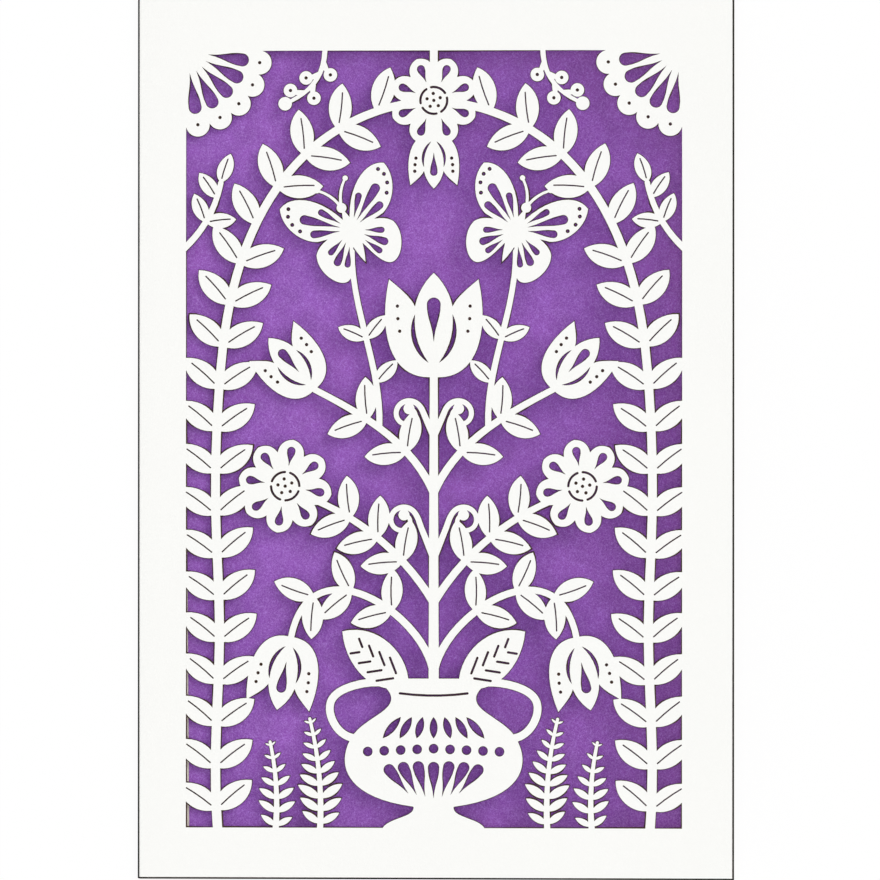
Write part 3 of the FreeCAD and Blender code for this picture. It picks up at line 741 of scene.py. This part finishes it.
def glued_sheet_tree():
    tree, given = new_tree("glued_sheet", [
        "Width", "Height", "Thickness", "Askew", "Centre Across", "Centre Along", "Underside",
        "Spacing", "Glued Width", "Cockle", "Cockle Length",
    ])
    size = put(tree, "ShaderNodeCombineXYZ", {
        "X": given["Width"], "Y": given["Height"], "Z": given["Thickness"],
    })
    count_x = work(tree, "CEIL", work(tree, "DIVIDE", given["Width"], given["Spacing"]))
    count_y = work(tree, "CEIL", work(tree, "DIVIDE", given["Height"], given["Spacing"]))
    sheet = put(tree, "GeometryNodeMeshCube", {
        "Size": size.outputs[0], "Vertices X": count_x, "Vertices Y": count_y, "Vertices Z": 2,
    }).outputs[0]
    place = put(tree, "GeometryNodeInputPosition").outputs[0]
    across = put(tree, "ShaderNodeSeparateXYZ", {0: place}).outputs["X"]
    half = work(tree, "MULTIPLY", given["Width"], 0.5)
    from_side = work(tree, "SUBTRACT", half, work(tree, "ABSOLUTE", across))
    unheld = put(tree, "ShaderNodeMapRange", {
        "Value": from_side, "From Min": given["Glued Width"],
        "From Max": work(tree, "MULTIPLY", given["Glued Width"], LOOSE_AT),
    }, interpolation_type="SMOOTHSTEP").outputs[0]
    noise = put(tree, "ShaderNodeTexNoise", {
        "Vector": place, "W": COCKLE_SEED, "Detail": 1.0,
        "Scale": work(tree, "DIVIDE", 1, given["Cockle Length"]),
    }, noise_dimensions="4D").outputs[0]
    lift = work(tree, "MULTIPLY", work(tree, "MULTIPLY", noise, unheld), given["Cockle"])
    raised = put(tree, "GeometryNodeSetPosition", {
        "Geometry": sheet, "Offset": put(tree, "ShaderNodeCombineXYZ", {"Z": lift}).outputs[0],
    }).outputs[0]
    half_thick = work(tree, "MULTIPLY", given["Thickness"], 0.5)
    centre_z = work(tree, "ADD", given["Underside"], half_thick)
    centre = put(tree, "ShaderNodeCombineXYZ", {
        "X": given["Centre Across"], "Y": given["Centre Along"], "Z": centre_z,
    }).outputs[0]
    turn = put(tree, "ShaderNodeCombineXYZ", {"Z": given["Askew"]}).outputs[0]
    laid = put(tree, "GeometryNodeTransform", {
        "Geometry": raised, "Translation": centre, "Rotation": turn,
    })
    end_tree(tree, laid.outputs[0], given)
    return tree


# %% [markdown]
# The sheet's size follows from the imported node's box: a sheet turned by a small angle needs a box
# that is wider by its height times the sine of the angle, and two equations give both sides back.

# %% Lay the purple sheet
SHEET_ASKEW = math.radians(0.4)
low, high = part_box("purple_sheet")
box_width, box_height = high.x - low.x, high.y - low.y
cos_askew, sin_askew = math.cos(SHEET_ASKEW), math.sin(abs(SHEET_ASKEW))
square = cos_askew ** 2 - sin_askew ** 2
sheet_width = (box_width * cos_askew - box_height * sin_askew) / square
sheet_height = (box_height * cos_askew - box_width * sin_askew) / square
print("purple sheet in mm:", in_mm((sheet_width, sheet_height)))

purple_backing = formed(
    "purple_backing", bpy.data.meshes.new("nothing"), glued_sheet_tree(), purple_paper,
    Width=sheet_width, Height=sheet_height, Thickness=high.z - low.z, Askew=SHEET_ASKEW,
    Centre_Across=(low.x + high.x) / 2, Centre_Along=(low.y + high.y) / 2, Underside=low.z,
    Spacing=0.002, Glued_Width=0.009, Cockle=0.0003, Cockle_Length=0.03,
)
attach(purple_backing, "root")
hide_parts("purple_sheet")

# %% [markdown]
# ## The studio
#
# The card lies on a pale floor. More than half of its light is a soft sky, brighter overhead than
# low down. The rest comes from a wide lamp at the upper right and from a smaller one beside the
# camera, which reaches down between the leaves and keeps the purple from going dull. The three
# shares come to 1, so that a colour renders about as it is written. The floor looks white to the
# camera but is a pale grey to everything else, and still takes the card's shadow. It lies a hair
# lower than the card, because two faces in one plane flicker. From below it is clear, and so it
# is to light that leaves the card's back within a tenth of a millimetre, so that the back can be
# looked at too.

# %% Floor, sky and lamps
SIDE_SHARE = 0.2                 # of the light that the card gets, from the wide lamp
TOP_SHARE = 0.2                  # and from the lamp beside the camera
SKY_LOW = 0.4                    # the sky's strength at the horizon
SKY_HIGH = SKY_LOW + 1.5 * (1 - SIDE_SHARE - TOP_SHARE - SKY_LOW)  # and overhead
SIDE_TILT = math.radians(38)     # from straight overhead
SIDE_TURN = math.radians(40)     # from the free edge towards the head
SIDE_WIDE = math.radians(35)     # how wide the lamps look from the card
TOP_WIDE = math.radians(12)
WHITE = (1, 1, 1, 1)
PALE_GREY = (0.8, 0.8, 0.8)      # three numbers, because a tone is to scale it
FLOOR_REACH = 4.0
FLOOR_LEVEL = -0.00002
FLOOR_GLOW = 0.9                 # of the white that is seen, the part that takes no shadow
CLEAR_WITHIN = 0.0001            # light that has gone less far than this passes the floor


def seen_directly(tree):
    """1 for the rays that the camera or a mirror sends, and 0 for the rays that carry light."""
    path = put(tree, "ShaderNodeLightPath").outputs
    seen = work(tree, "MAXIMUM", path["Is Camera Ray"], path["Is Glossy Ray"])
    return work(tree, "MAXIMUM", seen, path["Is Transmission Ray"])


def floor_material():
    material, tree, place = new_material("pale_floor")
    tone, _ = fibres(
        tree, place,
        Fibre_Length=0.002, Fibre_Contrast=0.004, Cloud_Size=0.2, Cloud_Contrast=0.004,
    )
    seen = seen_directly(tree)
    colour = blended(tree, seen, tinted(tree, PALE_GREY, tone), WHITE)
    diffuse = put(tree, "ShaderNodeBsdfDiffuse", {"Color": colour}).outputs[0]
    white = put(tree, "ShaderNodeEmission", {"Color": WHITE, "Strength": 1.0}).outputs[0]
    glow = work(tree, "MULTIPLY", seen, FLOOR_GLOW)
    solid = put(tree, "ShaderNodeMixShader", {0: glow, 1: diffuse, 2: white}).outputs[0]
    below = put(tree, "ShaderNodeNewGeometry").outputs["Backfacing"]
    gone = put(tree, "ShaderNodeLightPath").outputs["Ray Length"]
    through = work(tree, "MAXIMUM", below, work(tree, "LESS_THAN", gone, CLEAR_WITHIN))
    clear = put(tree, "ShaderNodeBsdfTransparent").outputs[0]
    shown = put(tree, "ShaderNodeMixShader", {0: through, 1: solid, 2: clear}).outputs[0]
    put(tree, "ShaderNodeOutputMaterial", {"Surface": shown})
    return material


floor_mesh = bpy.data.meshes.new("floor")
floor_ends = ((-1, -1), (1, -1), (1, 1), (-1, 1))
floor_corners = [(x * FLOOR_REACH, y * FLOOR_REACH, FLOOR_LEVEL) for x, y in floor_ends]
floor_mesh.from_pydata(floor_corners, [], [(0, 1, 2, 3)])
floor_mesh.materials.append(floor_material())
floor = bpy.data.objects.new("floor", floor_mesh)
bpy.context.scene.collection.objects.link(floor)
floor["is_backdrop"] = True

world = bpy.data.worlds.new("sky")
world.use_nodes = True
sky = world.node_tree
sky.nodes.clear()
direction = put(sky, "ShaderNodeTexCoord").outputs["Generated"]
steep = work(sky, "ABSOLUTE", put(sky, "ShaderNodeSeparateXYZ", {0: direction}).outputs["Z"])
level = put(sky, "ShaderNodeMapRange", {
    "Value": steep, "To Min": SKY_LOW, "To Max": SKY_HIGH,
}).outputs[0]
# 0, 2 and 3 are the Mix node's share and its two numbers
strength = put(sky, "ShaderNodeMix", {0: seen_directly(sky), 2: level, 3: 1.0}).outputs[0]
background = put(sky, "ShaderNodeBackground", {"Color": WHITE, "Strength": strength})
put(sky, "ShaderNodeOutputWorld", {"Surface": background.outputs[0]})
bpy.context.scene.world = world


def add_lamp(name, share, tilt, turn, wide):
    """A lamp that gives a level surface its share of the light, and looks `wide` from there."""
    light = bpy.data.lights.new(name, "SUN")
    light.energy = share * math.pi / math.cos(tilt)
    light.angle = wide
    lamp = bpy.data.objects.new(name, light)
    lamp.rotation_mode = "QUATERNION"
    level = math.sin(tilt)
    towards = Vector((level * math.cos(turn), level * math.sin(turn), math.cos(tilt)))
    lamp.rotation_quaternion = towards.to_track_quat("Z", "Y")
    bpy.context.scene.collection.objects.link(lamp)
    print(name, round(light.energy, 2))


add_lamp("side_lamp", SIDE_SHARE, SIDE_TILT, SIDE_TURN, SIDE_WIDE)
add_lamp("top_lamp", TOP_SHARE, 0, 0, TOP_WIDE)
print("sky", SKY_LOW, "to", round(SKY_HIGH, 2))

# %% [markdown]
# ## The camera
#
# It looks down from a good distance with a long lens, as one does to copy flat work, so that the
# card's sides hardly lean. Tilted open, the front leaf falls a little short of the back one, so
# the camera stands over the fold's side of the card: from there the front leaf just covers the
# back one. It is turned by a fraction of a degree, because no copy stand is quite square.

# %% Place the camera
CAMERA_PLACE = Vector((-0.030, -0.00082, 2.2))
AIM = Vector((0.00073, -0.00082, 0.006))   # a point half way up the front leaf
VIEW_WIDTH = 0.17676                       # of the scene, at that point
CAMERA_TURN = math.radians(0.02)
SENSOR = 36                                # mm

camera_data = bpy.data.cameras.new("camera")
camera_data.sensor_width = SENSOR
camera_data.lens = SENSOR * (CAMERA_PLACE - AIM).length / VIEW_WIDTH
camera_data.clip_start, camera_data.clip_end = 0.01, 20
camera = bpy.data.objects.new("camera", camera_data)
bpy.context.scene.collection.objects.link(camera)
camera.location = CAMERA_PLACE
camera_tilt = math.atan2(CAMERA_PLACE.x - AIM.x, CAMERA_PLACE.z - AIM.z)
camera.rotation_euler = (0, camera_tilt, CAMERA_TURN)
bpy.context.scene.camera = camera
bpy.context.scene.view_settings.view_transform = "Standard"
print("lens", round(camera_data.lens), "mm, tilted", round(math.degrees(camera_tilt), 2), "degrees")

# %% [markdown]
# ## Done
#
# The box of what shows is written beside the box of the imported model, so that the two can be
# compared.

# %% Print both boxes and finish
seen_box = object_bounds()
for name, box in (("packed", cad_box), ("shown", seen_box)):
    print(name, "box in mm:", " to ".join(str(in_mm(corner)) for corner in box))
